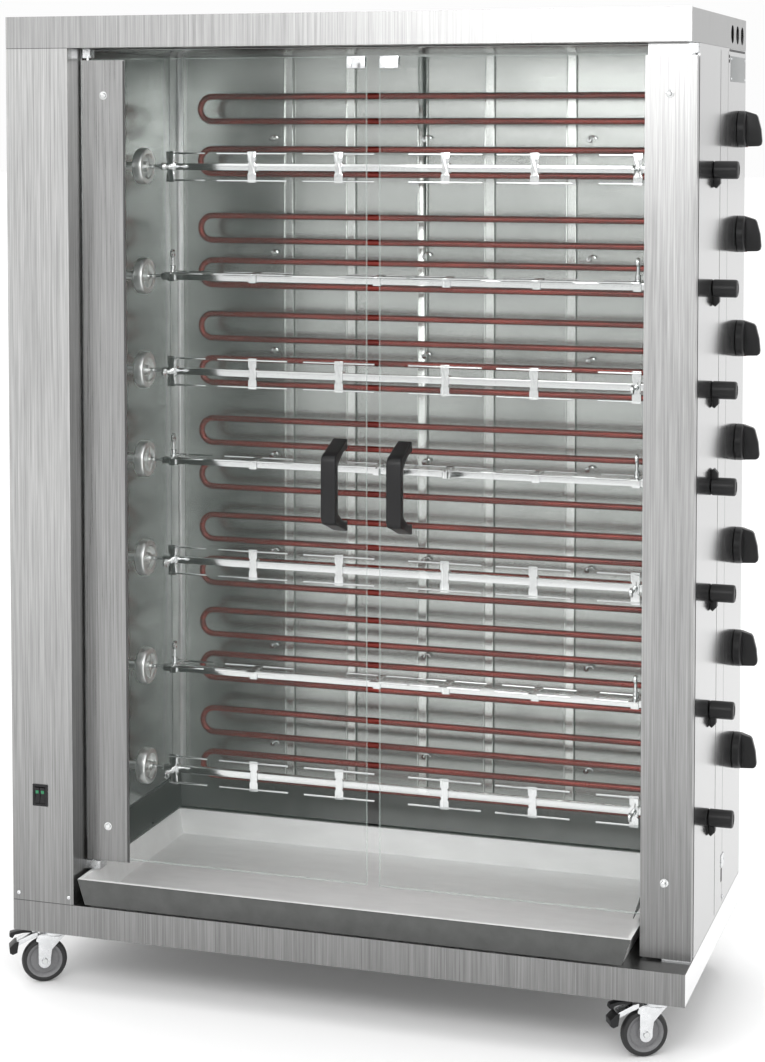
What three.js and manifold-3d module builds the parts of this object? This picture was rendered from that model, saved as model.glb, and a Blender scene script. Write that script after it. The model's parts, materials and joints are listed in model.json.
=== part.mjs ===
// A floor-standing electric chicken rotisserie: seven horizontal spits in a stainless cabinet on casters.
// Millimetres, +Z up, front towards -Y. The cabinet is centred on the frame's Z axis but for the shifts
// that put the whole object's box over the origin: knobs stand out on the right, a caster pedal on the left
// and handles at the front.
import * as THREE from "three";
import { mergeVertices } from "three/addons/utils/BufferGeometryUtils.js";
import Module from "manifold-3d";

const wasm = await Module();
wasm.setup();

// Driving dimensions
const WIDTH = 1192;
const DEPTH = 540;
const TOP = 1705;
const CASTER_HEIGHT = 105;
const BAND = 54; // height of the base and of the top cover
const SHEET = 1.2;
const GAP = 0.3;
const COLUMN_WIDTH = 116;
const HOUSING_WIDTH = 84;
const DOOR_RECESS = 50;
const STILE_WIDTH = 80;
const STILE_DEPTH = 18;
const STILE_TOP = 1631;
const LEFT_STILE_BOTTOM = 227;
const RIGHT_STILE_BOTTOM = 163;
const GLASS = 6;
const GLASS_BOTTOM = 231;
const GLASS_INSET = 16; // of each pane's outer edge behind its stile
const GLASS_GAP = 22; // between the two doors' free edges
const DOOR_SPLIT_X = 52;
const HANDLE_Z = 914;
const HANDLE_HALF = 79; // half its height on the glass
const HANDLE_OFFSET = 57; // handle centre from the split
const HANDLE_OUT = 66;
const HANDLE_WIDTH = 26;
const SPIT_HEIGHTS = [1445, 1248, 1078, 916, 736, 538, 353];
const SPIT_SETBACK = 216; // spit axis behind the cabinet front
const CUP_RADIUS = 32.5;
const HEATER_HEIGHTS = [1500, 1284, 1099, 901, 717, 535, 346];
const HEATER_SETBACK = 430;
const TOP_LOOP_OFFSET = 49; // the top zone's loops stand a little further apart than the others
const LOOP_OFFSET = 42;
const LOOP_HALF = 23; // half the centre distance of a loop's two legs
const ELEMENT_RADIUS = 5.5;
const REFLECTOR_SETBACK = 480;
const KNOB_COUNT = 7;
const KNOB_TOP_Z = 1512;
const KNOB_PITCH = 185;
const KNOB_SETBACK = 472;
const KNOB_RADIUS = 32.5;
const KNOB_OUT = 41;
const RELEASE_RADIUS = 15;
const WHEEL_RADIUS = 40;
const WHEEL_WIDTH = 26;
const CASTER_INSET = 56;
const CASTER_TRAIL = 22;
const CASTER_TURN = Math.PI / 6; // the casters stand turned, with their pedals towards the front left
const PEDAL_REACH = 62; // from the wheel centre to the pedal's tip
const PEDAL_HALF = 14;

// Derived places, in the cabinet's own frame
const LEFT = -WIDTH / 2;
const RIGHT = WIDTH / 2;
const FRONT = -DEPTH / 2;
const BACK = DEPTH / 2;
const FLOOR_Z = CASTER_HEIGHT + BAND;
const CEILING_Z = TOP - BAND;
const CAVITY_LEFT = LEFT + COLUMN_WIDTH;
const CAVITY_RIGHT = RIGHT - HOUSING_WIDTH;
const DOOR_Y = FRONT + DOOR_RECESS; // front face of the stiles
const GLASS_Y = DOOR_Y + SHEET + 2 * GAP + 2; // front face of the glass
const SPIT_Y = FRONT + SPIT_SETBACK;
const HEATER_Y = FRONT + HEATER_SETBACK;
const REFLECTOR_Y = FRONT + REFLECTOR_SETBACK;
const HANDLE_PROUD = HANDLE_OUT + GAP - (GLASS_Y - FRONT);
const PEDAL_TIP = (CASTER_TRAIL + PEDAL_REACH) * Math.cos(CASTER_TURN) + PEDAL_HALF * Math.sin(CASTER_TURN);
const PEDAL_PROUD = PEDAL_TIP - CASTER_INSET;
const LEFT_PIVOT = [CAVITY_LEFT + 12, DOOR_Y + 7];
const RIGHT_PIVOT = [RIGHT - 8, DOOR_Y + 10];
const PIN_RADIUS = 2.5;

// Solid helpers
function solid(geometry) {
  const bare = geometry.clone();
  bare.deleteAttribute("normal");
  bare.deleteAttribute("uv");
  const merged = mergeVertices(bare, 1e-4);
  return new wasm.Manifold(
    new wasm.Mesh({
      numProp: 3,
      vertProperties: merged.attributes.position.array,
      triVerts: new Uint32Array(merged.index.array),
    }),
  );
}

function block(x0, x1, y0, y1, z0, z1) {
  const box = new THREE.BoxGeometry(x1 - x0, y1 - y0, z1 - z0);
  return solid(box.translate((x0 + x1) / 2, (y0 + y1) / 2, (z0 + z1) / 2));
}

// A round bar from one end to the other along an axis, through a centre in the other two directions.
function bar(axis, radius, from, to, centre, segments = 16, endRadius = radius) {
  const shape = new THREE.CylinderGeometry(endRadius, radius, to - from, segments);
  shape.translate(0, (from + to) / 2, 0);
  if (axis === "x") shape.rotateZ(-Math.PI / 2).translate(0, centre[0], centre[1]);
  if (axis === "y") shape.translate(centre[0], 0, centre[1]);
  if (axis === "z") shape.rotateX(Math.PI / 2).translate(centre[0], centre[1], 0);
  return solid(shape);
}

function join(first, ...others) {
  return others.reduce((whole, piece) => whole.add(piece), first);
}

function cut(whole, ...holes) {
  return holes.reduce((rest, hole) => rest.subtract(hole), whole);
}

// A closed sheet-metal box, open only where its holes are cut.
function shell(x0, x1, y0, y1, z0, z1) {
  const inside = block(x0 + SHEET, x1 - SHEET, y0 + SHEET, y1 - SHEET, z0 + SHEET, z1 - SHEET);
  return block(x0, x1, y0, y1, z0, z1).subtract(inside);
}

// A straight-sided funnel body between a lower and an upper rectangle [x0, x1, y0, y1].
function frustum(low, z0, high, z1) {
  const box = new THREE.BoxGeometry(1, 1, 1);
  const place = box.attributes.position;
  for (let i = 0; i < place.count; i++) {
    const rectangle = place.getZ(i) > 0 ? high : low;
    const x = place.getX(i) > 0 ? rectangle[1] : rectangle[0];
    const y = place.getY(i) > 0 ? rectangle[3] : rectangle[2];
    place.setXYZ(i, x, y, place.getZ(i) > 0 ? z1 : z0);
  }
  return solid(box);
}

function grown([x0, x1, y0, y1], by) {
  return [x0 - by, x1 + by, y0 - by, y1 + by];
}

const cabinet = new THREE.Group();
cabinet.position.set((PEDAL_PROUD - KNOB_OUT) / 2, HANDLE_PROUD / 2, 0);

function place(name, shape, material, x = 0, y = 0, z = 0, turnX = 0, turnZ = 0) {
  const made = shape.getMesh();
  const geometry = new THREE.BufferGeometry();
  geometry.setAttribute("position", new THREE.BufferAttribute(made.vertProperties, 3));
  geometry.setIndex(new THREE.BufferAttribute(made.triVerts, 1));
  geometry.computeVertexNormals();
  const mesh = new THREE.Mesh(geometry, material);
  mesh.name = name;
  mesh.position.set(x, y, z);
  mesh.rotation.set(turnX, 0, turnZ);
  cabinet.add(mesh);
}

// Materials
const metal = (color, roughness) => new THREE.MeshStandardMaterial({ color, roughness, metalness: 1 });
const plastic = (color, roughness) => new THREE.MeshStandardMaterial({ color, roughness, metalness: 0 });
const brushedSteel = () => metal(0xbcbdbd, 0.38);
const polishedSteel = () => metal(0x9fa5a1, 0.15);
const satinSteel = () => metal(0xc9cbca, 0.45);
const zinc = () => metal(0xd2d4d6, 0.3);
const chrome = () => metal(0xdadcde, 0.12);
const hotElement = () => plastic(0x8a2218, 0.4);
const blackPlastic = () => plastic(0x1c1c1d, 0.45);
const clearGlass = () =>
  new THREE.MeshStandardMaterial({ color: 0xe6efea, roughness: 0.05, transparent: true, opacity: 0.2 });

// Cabinet shells
function baseChassis() {
  const box = shell(LEFT, RIGHT, FRONT, BACK, CASTER_HEIGHT, FLOOR_Z);
  const drain = bar("z", 12, CASTER_HEIGHT - 1, CASTER_HEIGHT + SHEET + 1, [0, 0]);
  return cut(box, drain);
}

function topCover() {
  const box = shell(LEFT, RIGHT, FRONT, BACK, CEILING_Z, TOP);
  const ventCentres = [393, 447, 498].map((setback) => FRONT + setback);
  const vents = ventCentres.map((y) => bar("x", 16, RIGHT - 5, RIGHT + 5, [y, TOP - 29]));
  return cut(box, ...vents);
}

const SWITCH_X = LEFT + 54;
const SWITCH_Z = 349;
const SWITCH_WIDTH = 28;
const SWITCH_HEIGHT = 38;
const SHAFT_RADIUS = 8;

function leftColumn() {
  const box = shell(LEFT, CAVITY_LEFT, FRONT, BACK, FLOOR_Z + GAP, CEILING_Z - GAP);
  const shaftHoles = SPIT_HEIGHTS.map((z) =>
    bar("x", SHAFT_RADIUS + 2, CAVITY_LEFT - 5, CAVITY_LEFT + 5, [SPIT_Y, z], 8),
  );
  const halfWidth = SWITCH_WIDTH / 2 - 2;
  const halfHeight = SWITCH_HEIGHT / 2 - 2;
  const [x0, x1] = [SWITCH_X - halfWidth, SWITCH_X + halfWidth];
  const window = block(x0, x1, FRONT - 5, FRONT + 5, SWITCH_Z - halfHeight, SWITCH_Z + halfHeight);
  return cut(box, window, ...shaftHoles);
}

const PLUNGER_RADIUS = 9;
const HOUSING_FRONT = DOOR_Y + STILE_DEPTH + 6;

function rightHousing() {
  const box = shell(CAVITY_RIGHT, RIGHT, HOUSING_FRONT, BACK, FLOOR_Z + GAP, CEILING_Z - GAP);
  const plungerHoles = SPIT_HEIGHTS.map((z) =>
    bar("x", PLUNGER_RADIUS + 1.5, CAVITY_RIGHT - 5, RIGHT + 5, [SPIT_Y, z], 8),
  );
  const knobY = FRONT + KNOB_SETBACK;
  const knobHoles = knobHeights().map((z) => bar("x", 6, RIGHT - 5, RIGHT + 5, [knobY, z], 6));
  const terminalSlots = HEATER_HEIGHTS.map((z, i) => {
    const reach = loopOffset(i) + LOOP_HALF + ELEMENT_RADIUS + 2;
    const half = ELEMENT_RADIUS + 2;
    const [y0, y1] = [HEATER_Y - half, HEATER_Y + half];
    return block(CAVITY_RIGHT - 5, CAVITY_RIGHT + 5, y0, y1, z - reach, z + reach);
  });
  return cut(box, ...plungerHoles, ...knobHoles, ...terminalSlots);
}

function rearPanel() {
  const z0 = FLOOR_Z + GAP;
  return block(CAVITY_LEFT + GAP, CAVITY_RIGHT - GAP, BACK - SHEET, BACK, z0, CEILING_Z - GAP);
}

function reflectorPanel() {
  const z0 = FLOOR_Z + GAP;
  const front = REFLECTOR_Y;
  return block(CAVITY_LEFT + GAP, CAVITY_RIGHT - GAP, front, front + SHEET, z0, CEILING_Z - GAP);
}

// Tray and funnel
const TRAY_RIM_Z = 207;
const TRAY_LOW = [CAVITY_LEFT + 25, CAVITY_RIGHT - 22, FRONT + 23, BACK - 105];
const TRAY_HIGH = [CAVITY_LEFT + 6, CAVITY_RIGHT - 4, FRONT, BACK - 90];

function dripTray() {
  const z0 = FLOOR_Z + GAP;
  const outer = frustum(TRAY_LOW, z0, TRAY_HIGH, TRAY_RIM_Z);
  const inner = frustum(grown(TRAY_LOW, -SHEET), z0 + SHEET, grown(TRAY_HIGH, -SHEET), TRAY_RIM_Z + SHEET);
  return cut(outer, inner);
}

const FUNNEL_Z0 = 213;
const FUNNEL_Z1 = 265;
const FUNNEL_FRONT = DOOR_Y + 32;

function dripFunnel() {
  const low = [CAVITY_LEFT + 18, CAVITY_RIGHT - 17, FUNNEL_FRONT, REFLECTOR_Y - 38];
  const high = [CAVITY_LEFT + 1, CAVITY_RIGHT - 1, FUNNEL_FRONT, REFLECTOR_Y - 1];
  const open = ([x0, x1, y0, y1]) => [x0 + SHEET, x1 - SHEET, y0 - 50, y1 - SHEET];
  const outer = frustum(low, FUNNEL_Z0, high, FUNNEL_Z1);
  const above = frustum(open(low), FUNNEL_Z0, open(high), FUNNEL_Z1);
  const mouth = [...open(high).slice(0, 2), FUNNEL_FRONT - 50, REFLECTOR_Y - 1 - SHEET];
  const overshoot = frustum(mouth, FUNNEL_Z1 - 0.01, mouth, FUNNEL_Z1 + 5);
  const floorMouth = open(low);
  const undershoot = frustum(floorMouth, FUNNEL_Z0 - 5, floorMouth, FUNNEL_Z0 + 0.01);
  return cut(outer, above, overshoot, undershoot);
}

// Drive and controls
function gearMotor() {
  const body = block(LEFT + 12, CAVITY_LEFT - 14, SPIT_Y - 60, SPIT_Y + 50, 180, 290);
  const can = bar("y", 42, SPIT_Y + 45, SPIT_Y + 160, [LEFT + 60, 236], 20);
  const foot = block(LEFT + 8, CAVITY_LEFT - 10, SPIT_Y - 70, SPIT_Y + 60, FLOOR_Z + 2 * GAP + SHEET, 181);
  return join(body, can, foot);
}

function switchBezel() {
  const w = SWITCH_WIDTH / 2;
  const h = SWITCH_HEIGHT / 2;
  const face = block(-w, w, -2, -GAP, -h, h);
  const sleeve = block(-w + 2.4, w - 2.4, -1, 20, -h + 2.4, h - 2.4);
  const rockers = block(-w + 4, w - 4, -6, 16, -h + 4, h - 4);
  const bridge = block(-0.5, 0.5, -1.5, 16, -h + 3, h - 3);
  return join(cut(join(face, sleeve), rockers), bridge);
}

function rocker() {
  const half = 4.4;
  const reach = 14.5;
  const profile = new THREE.Shape();
  profile.moveTo(-reach, -0.5);
  profile.lineTo(0, 1.2);
  profile.lineTo(reach, -1.6);
  profile.lineTo(reach, 4);
  profile.lineTo(0, 8);
  profile.lineTo(-reach, 4);
  const shape = new THREE.ExtrudeGeometry(profile, { depth: 2 * half, bevelEnabled: false });
  // the profile's x runs up the switch and its y into the panel
  shape.applyMatrix4(new THREE.Matrix4().set(0, 0, -1, half, 0, 1, 0, 0, 1, 0, 0, 0, 0, 0, 0, 1));
  return solid(shape);
}

function knobHeights() {
  return Array.from({ length: KNOB_COUNT }, (_, i) => KNOB_TOP_Z - i * KNOB_PITCH);
}

function controlKnob() {
  const skirt = bar("x", KNOB_RADIUS, GAP, 9, [0, 0], 20);
  const drum = bar("x", KNOB_RADIUS - 4, 8, 24, [0, 0], 12, KNOB_RADIUS - 9);
  const grip = block(10, KNOB_OUT, -8, 8, -KNOB_RADIUS + 5, KNOB_RADIUS - 5);
  const shaft = bar("x", 4, -22, 2, [0, 0], 6);
  return join(skirt, drum, grip, shaft);
}

const PLUNGER_SOCKET = 10;

function releaseKnob(tabUp) {
  const knob = bar("x", RELEASE_RADIUS, GAP, KNOB_OUT, [0, 0], 16);
  const plunger = bar("x", PLUNGER_RADIUS, -HOUSING_WIDTH - 14, 2, [0, 0], 10);
  const socket = bar("x", 6, -HOUSING_WIDTH - 15, -HOUSING_WIDTH - 14 + PLUNGER_SOCKET, [0, 0], 8);
  const outline = new THREE.Shape();
  outline.moveTo(-6, 0);
  outline.lineTo(6, 0);
  outline.lineTo(6, -22);
  outline.lineTo(0, -31);
  outline.lineTo(-6, -22);
  const tab = new THREE.ExtrudeGeometry(outline, { depth: 9, bevelEnabled: false });
  // the outline's x runs front to back and its depth out of the panel
  tab.applyMatrix4(new THREE.Matrix4().set(0, 0, 1, GAP, 1, 0, 0, 0, 0, 1, 0, 0, 0, 0, 0, 1));
  if (tabUp) tab.rotateX(Math.PI);
  return cut(join(knob, plunger, solid(tab)), socket);
}

// Spits
const CUP_X = CAVITY_LEFT + 35;
const CUP_LENGTH = 20;
const ROD_HALF = 6;
const ROD_END = CAVITY_RIGHT - 15;
const PRONG_SPACING = 48;
const PRONG_HALF = 1.6;
const PRONG_REACH = 66;
const FORK_HALF_WIDTH = 8;
const HUB_PLATE = 7; // half the hub plate's thickness
const THUMB_SCREW_OUT = 49;
const LEFT_FORK_X = -378;
const RIGHT_FORK_X = 469;
const MIDDLE_FORKS_ODD = [-223, -61, 133, 291];
const MIDDLE_FORKS_EVEN = [-223, 9, 135, 295];

// Forks clamp on the square rod: a hub plate across it with prongs along it, to one side or both.
function fork(x, reachLeft, reachRight) {
  const halfHub = PRONG_SPACING / 2 + 3;
  const hub = block(x - FORK_HALF_WIDTH, x + FORK_HALF_WIDTH, -HUB_PLATE, HUB_PLATE, -halfHub, halfHub);
  const prongs = [-1, 1].map((side) => {
    const z = (side * PRONG_SPACING) / 2;
    return block(x - reachLeft, x + reachRight, -PRONG_HALF, PRONG_HALF, z - PRONG_HALF, z + PRONG_HALF);
  });
  return join(hub, ...prongs);
}

function thumbScrew(x) {
  return block(x - 2.5, x + 2.5, -THUMB_SCREW_OUT, -HUB_PLATE + 1, -5, 5);
}

function spit(middleForks) {
  const sprocket = bar("x", 30, CAVITY_LEFT - 50, CAVITY_LEFT - 43, [0, 0], 12);
  const shaft = bar("x", SHAFT_RADIUS, CAVITY_LEFT - 52, CUP_X + 2, [0, 0], 8);
  const disc = bar("x", CUP_RADIUS, CUP_X, CUP_X + CUP_LENGTH, [0, 0], 20);
  const slot = block(CUP_X + 10, CUP_X + CUP_LENGTH + 1, -CUP_RADIUS - 1, CUP_RADIUS + 1, -8, 8);
  const rod = block(CUP_X + 9, ROD_END, -ROD_HALF, ROD_HALF, -ROD_HALF, ROD_HALF);
  const tip = bar("x", 5, ROD_END - 1, ROD_END + PLUNGER_SOCKET - 3, [0, 0], 6);
  const ends = [fork(LEFT_FORK_X, 8, PRONG_REACH), fork(RIGHT_FORK_X, PRONG_REACH, 8)];
  const middles = middleForks.map((x) => fork(x, PRONG_REACH, PRONG_REACH));
  const screws = [thumbScrew(LEFT_FORK_X), thumbScrew(RIGHT_FORK_X)];
  return join(cut(join(sprocket, shaft, disc), slot), rod, tip, ...ends, ...middles, ...screws);
}

// Heating zones
function loopOffset(zone) {
  return zone === 0 ? TOP_LOOP_OFFSET : LOOP_OFFSET;
}

const BEND_X = CAVITY_LEFT + 92;
const TERMINAL_X = CAVITY_RIGHT + 18;

// One hairpin: two legs and a half-round bend at the left.
function hairpin() {
  const leg = (side) => bar("x", ELEMENT_RADIUS, BEND_X, TERMINAL_X, [0, side * LOOP_HALF], 6);
  const legs = [-1, 1].map(leg);
  const ring = new THREE.TorusGeometry(LOOP_HALF, ELEMENT_RADIUS, 6, 12);
  ring.rotateX(Math.PI / 2).translate(BEND_X, 0, 0);
  const leftHalf = block(BEND_X - 2 * LOOP_HALF, BEND_X + 0.01, -20, 20, -2 * LOOP_HALF, 2 * LOOP_HALF);
  return join(solid(ring).intersect(leftHalf), ...legs);
}

function heatingZone(zone) {
  const offset = loopOffset(zone);
  const reach = offset + LOOP_HALF + ELEMENT_RADIUS;
  const terminal = block(TERMINAL_X - 2, TERMINAL_X + 14, -6, 6, -reach, reach);
  return join(terminal, hairpin().translate([0, 0, offset]), hairpin().translate([0, 0, -offset]));
}

// Doors
// A folded stile: front plate, a deep flange at the hinge side and a shallow one at the glass side.
function stile(x0, x1, hingeAtLeft, z0) {
  const plate = block(x0, x1, 0, SHEET, z0, STILE_TOP);
  const leftDepth = hingeAtLeft ? STILE_DEPTH : GLASS_Y - DOOR_Y - 2 * GAP;
  const rightDepth = hingeAtLeft ? GLASS_Y - DOOR_Y - 2 * GAP : STILE_DEPTH;
  const leftFlange = block(x0, x0 + SHEET, 0, leftDepth, z0, STILE_TOP);
  const rightFlange = block(x1 - SHEET, x1, 0, rightDepth, z0, STILE_TOP);
  return join(plate, leftFlange, rightFlange);
}

function pane(x0, x1) {
  return block(x0, x1, GLASS_Y, GLASS_Y + GLASS, GLASS_BOTTOM, STILE_TOP + 2);
}

// The outline in y (out of the door) and z; the legs splay a little towards the glass.
function handle() {
  const barHalf = 64;
  const footHalf = HANDLE_HALF;
  const footInner = 62;
  const thickness = 18;
  const outline = new THREE.Shape();
  outline.moveTo(0, footHalf);
  outline.lineTo(-HANDLE_OUT + 18, barHalf + 10);
  outline.quadraticCurveTo(-HANDLE_OUT, barHalf + 6, -HANDLE_OUT, barHalf - 12);
  outline.lineTo(-HANDLE_OUT, -barHalf + 12);
  outline.quadraticCurveTo(-HANDLE_OUT, -barHalf - 6, -HANDLE_OUT + 18, -barHalf - 10);
  outline.lineTo(0, -footHalf);
  outline.lineTo(0, -footInner);
  outline.lineTo(-HANDLE_OUT + thickness + 6, -barHalf + 12);
  outline.lineTo(-HANDLE_OUT + thickness, -barHalf + 22);
  outline.lineTo(-HANDLE_OUT + thickness, barHalf - 22);
  outline.lineTo(-HANDLE_OUT + thickness + 6, barHalf - 12);
  outline.lineTo(0, footInner);
  const options = { depth: HANDLE_WIDTH, bevelEnabled: false, curveSegments: 4 };
  const shape = new THREE.ExtrudeGeometry(outline, options);
  const left = -HANDLE_WIDTH / 2;
  shape.applyMatrix4(new THREE.Matrix4().set(0, 0, 1, left, 1, 0, 0, 0, 0, 1, 0, 0, 0, 0, 0, 1));
  return solid(shape);
}

// Hinge brackets: a block on the cabinet with a pin into the open end of the stile.
function upperHinge([x, y]) {
  const plate = block(x - 7, x + 7, y - 6, y + 12, STILE_TOP + 4, CEILING_Z - 2 * GAP);
  return join(plate, bar("z", PIN_RADIUS, STILE_TOP - 16, STILE_TOP + 5, [x, y], 8));
}

function lowerLeftHinge([x, y]) {
  const top = LEFT_STILE_BOTTOM - 2;
  const plate = block(CAVITY_LEFT + GAP, x + 16, y - 6, y + 22, top - 15, top);
  return join(plate, bar("z", PIN_RADIUS, LEFT_STILE_BOTTOM - 3, LEFT_STILE_BOTTOM + 16, [x, y], 8));
}

function lowerRightHinge([x, y]) {
  const plate = block(x - 40, x + 7, y - 8, y + 12, FLOOR_Z + GAP, RIGHT_STILE_BOTTOM - 1);
  return join(plate, bar("z", PIN_RADIUS, FLOOR_Z + 2, RIGHT_STILE_BOTTOM + 18, [x, y], 8));
}

// Casters
const AXLE_RADIUS = 5;
const HUB_HALF = 12;

function casterFork() {
  const half = WHEEL_WIDTH / 2 + 2;
  const head = bar("z", 24, 86, CASTER_HEIGHT - GAP, [0, 0], 20);
  const crown = block(-CASTER_TRAIL - 12, 20, -half - 2.5, half + 2.5, 83, 88);
  const cheekOutline = new THREE.Shape();
  cheekOutline.moveTo(18, 86);
  cheekOutline.lineTo(-CASTER_TRAIL - 12, 86);
  cheekOutline.lineTo(-CASTER_TRAIL - 11, WHEEL_RADIUS);
  cheekOutline.lineTo(-CASTER_TRAIL - 6, WHEEL_RADIUS - 10);
  cheekOutline.lineTo(-CASTER_TRAIL + 6, WHEEL_RADIUS - 10);
  cheekOutline.lineTo(-CASTER_TRAIL + 12, WHEEL_RADIUS);
  const cheek = new THREE.ExtrudeGeometry(cheekOutline, { depth: 2.5, bevelEnabled: false });
  cheek.rotateX(Math.PI / 2);
  const cheeks = [-half, half + 2.5].map((y) => solid(cheek.clone().translate(0, y, 0)));
  const axle = bar("y", AXLE_RADIUS, -half - 5, half + 5, [-CASTER_TRAIL, WHEEL_RADIUS], 10);
  return join(head, crown, ...cheeks, axle);
}

function casterWheel() {
  const profile = [
    [AXLE_RADIUS + 0.5, -HUB_HALF],
    [31, -WHEEL_WIDTH / 2],
    [WHEEL_RADIUS, -WHEEL_WIDTH / 4],
    [WHEEL_RADIUS, WHEEL_WIDTH / 4],
    [31, WHEEL_WIDTH / 2],
    [AXLE_RADIUS + 0.5, HUB_HALF],
    [AXLE_RADIUS + 0.5, -HUB_HALF],
  ];
  return solid(new THREE.LatheGeometry(profile.map(([r, y]) => new THREE.Vector2(r, y)), 20));
}

// The pedal's outline in x (along the wheel) and z; it pivots above the wheel's far side.
function brakePedal() {
  const outline = new THREE.Shape();
  outline.moveTo(-CASTER_TRAIL - 14, 90);
  outline.lineTo(-CASTER_TRAIL - 36, 88);
  outline.lineTo(-CASTER_TRAIL - PEDAL_REACH, 72);
  outline.lineTo(-CASTER_TRAIL - 58, 66);
  outline.lineTo(-CASTER_TRAIL - 34, 80);
  outline.lineTo(-CASTER_TRAIL - 14, 83);
  const shape = new THREE.ExtrudeGeometry(outline, { depth: 2 * PEDAL_HALF, bevelEnabled: false });
  shape.rotateX(Math.PI / 2).translate(0, PEDAL_HALF, 0);
  return solid(shape);
}

// Assembly
place("base_chassis", baseChassis(), brushedSteel());
place("top_cover", topCover(), brushedSteel());
place("left_column", leftColumn(), brushedSteel());
place("right_housing", rightHousing(), brushedSteel());
place("rear_panel", rearPanel(), satinSteel());
place("reflector_panel", reflectorPanel(), polishedSteel());
place("drip_funnel", dripFunnel(), satinSteel());
place("drip_tray", dripTray(), satinSteel());
place("gear_motor", gearMotor(), zinc());
place("switch_bezel", switchBezel(), blackPlastic(), SWITCH_X, FRONT, SWITCH_Z);
place("motor_rocker", rocker(), blackPlastic(), SWITCH_X - 5.2, FRONT - 2, SWITCH_Z);
place("lamp_rocker", rocker(), blackPlastic(), SWITCH_X + 5.2, FRONT - 2, SWITCH_Z);

const leftStileX = CAVITY_LEFT + 4;
const leftStile = stile(leftStileX, leftStileX + STILE_WIDTH, true, LEFT_STILE_BOTTOM);
const rightStile = stile(CAVITY_RIGHT, RIGHT, false, RIGHT_STILE_BOTTOM);
const handleY = GLASS_Y - GAP;
place("left_door_stile", leftStile, brushedSteel(), 0, DOOR_Y);
place("left_door_glass", pane(leftStileX + GLASS_INSET, DOOR_SPLIT_X - GLASS_GAP / 2), clearGlass());
place("right_door_stile", rightStile, brushedSteel(), 0, DOOR_Y);
place("right_door_glass", pane(DOOR_SPLIT_X + GLASS_GAP / 2, RIGHT - GLASS_INSET), clearGlass());
place("left_door_handle", handle(), blackPlastic(), DOOR_SPLIT_X - HANDLE_OFFSET, handleY, HANDLE_Z);
place("right_door_handle", handle(), blackPlastic(), DOOR_SPLIT_X + HANDLE_OFFSET, handleY, HANDLE_Z);
place("upper_left_hinge", upperHinge(LEFT_PIVOT), zinc());
place("upper_right_hinge", upperHinge(RIGHT_PIVOT), zinc());
place("lower_left_hinge", lowerLeftHinge(LEFT_PIVOT), zinc());
place("lower_right_hinge", lowerRightHinge(RIGHT_PIVOT), zinc());

knobHeights().forEach((z, i) => {
  place("control_knob_" + (i + 1), controlKnob(), blackPlastic(), RIGHT, FRONT + KNOB_SETBACK, z);
});

SPIT_HEIGHTS.forEach((z, i) => {
  const even = i % 2 === 1;
  const forks = even ? MIDDLE_FORKS_EVEN : MIDDLE_FORKS_ODD;
  place("spit_" + (i + 1), spit(forks), chrome(), 0, SPIT_Y, z, even ? -Math.PI / 2 : 0);
  place("release_knob_" + (i + 1), releaseKnob(i === 3), blackPlastic(), RIGHT, SPIT_Y, z);
});

HEATER_HEIGHTS.forEach((z, i) => {
  place("heating_zone_" + (i + 1), heatingZone(i), hotElement(), 0, HEATER_Y, z);
});

for (const [side, sideX] of [["left", LEFT + CASTER_INSET], ["right", RIGHT - CASTER_INSET]]) {
  for (const [end, endY] of [["front", FRONT + CASTER_INSET], ["rear", BACK - CASTER_INSET]]) {
    const name = end + "_" + side;
    const wheelX = sideX - CASTER_TRAIL * Math.cos(CASTER_TURN);
    const wheelY = endY - CASTER_TRAIL * Math.sin(CASTER_TURN);
    place(name + "_fork", casterFork(), zinc(), sideX, endY, 0, 0, CASTER_TURN);
    place(name + "_wheel", casterWheel(), blackPlastic(), wheelX, wheelY, WHEEL_RADIUS, 0, CASTER_TURN);
    if (end === "front") place(name + "_pedal", brakePedal(), blackPlastic(), sideX, endY, 0, 0, CASTER_TURN);
  }
}

export default cabinet;
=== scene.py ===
import json
import math

import bmesh
import bpy
from mathutils import Matrix, Vector


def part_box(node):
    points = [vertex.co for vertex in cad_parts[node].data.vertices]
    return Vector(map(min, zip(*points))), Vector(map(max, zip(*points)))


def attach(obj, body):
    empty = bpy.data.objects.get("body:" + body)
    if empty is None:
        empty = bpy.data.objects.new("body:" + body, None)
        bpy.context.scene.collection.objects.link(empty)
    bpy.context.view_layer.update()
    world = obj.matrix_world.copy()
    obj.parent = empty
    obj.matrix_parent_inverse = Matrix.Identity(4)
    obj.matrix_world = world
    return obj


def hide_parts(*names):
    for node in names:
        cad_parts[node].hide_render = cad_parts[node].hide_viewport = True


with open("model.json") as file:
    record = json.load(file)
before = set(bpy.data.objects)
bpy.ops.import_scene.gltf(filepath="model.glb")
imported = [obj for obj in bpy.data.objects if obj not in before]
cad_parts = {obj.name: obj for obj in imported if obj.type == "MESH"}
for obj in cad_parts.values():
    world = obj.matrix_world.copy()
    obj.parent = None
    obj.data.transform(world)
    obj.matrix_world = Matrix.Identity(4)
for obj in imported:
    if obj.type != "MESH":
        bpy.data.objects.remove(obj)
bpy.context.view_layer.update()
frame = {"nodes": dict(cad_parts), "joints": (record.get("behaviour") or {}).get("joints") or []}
JOINTS = {joint["name"]: joint for joint in frame["joints"]}
NODES = frame["nodes"]

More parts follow.
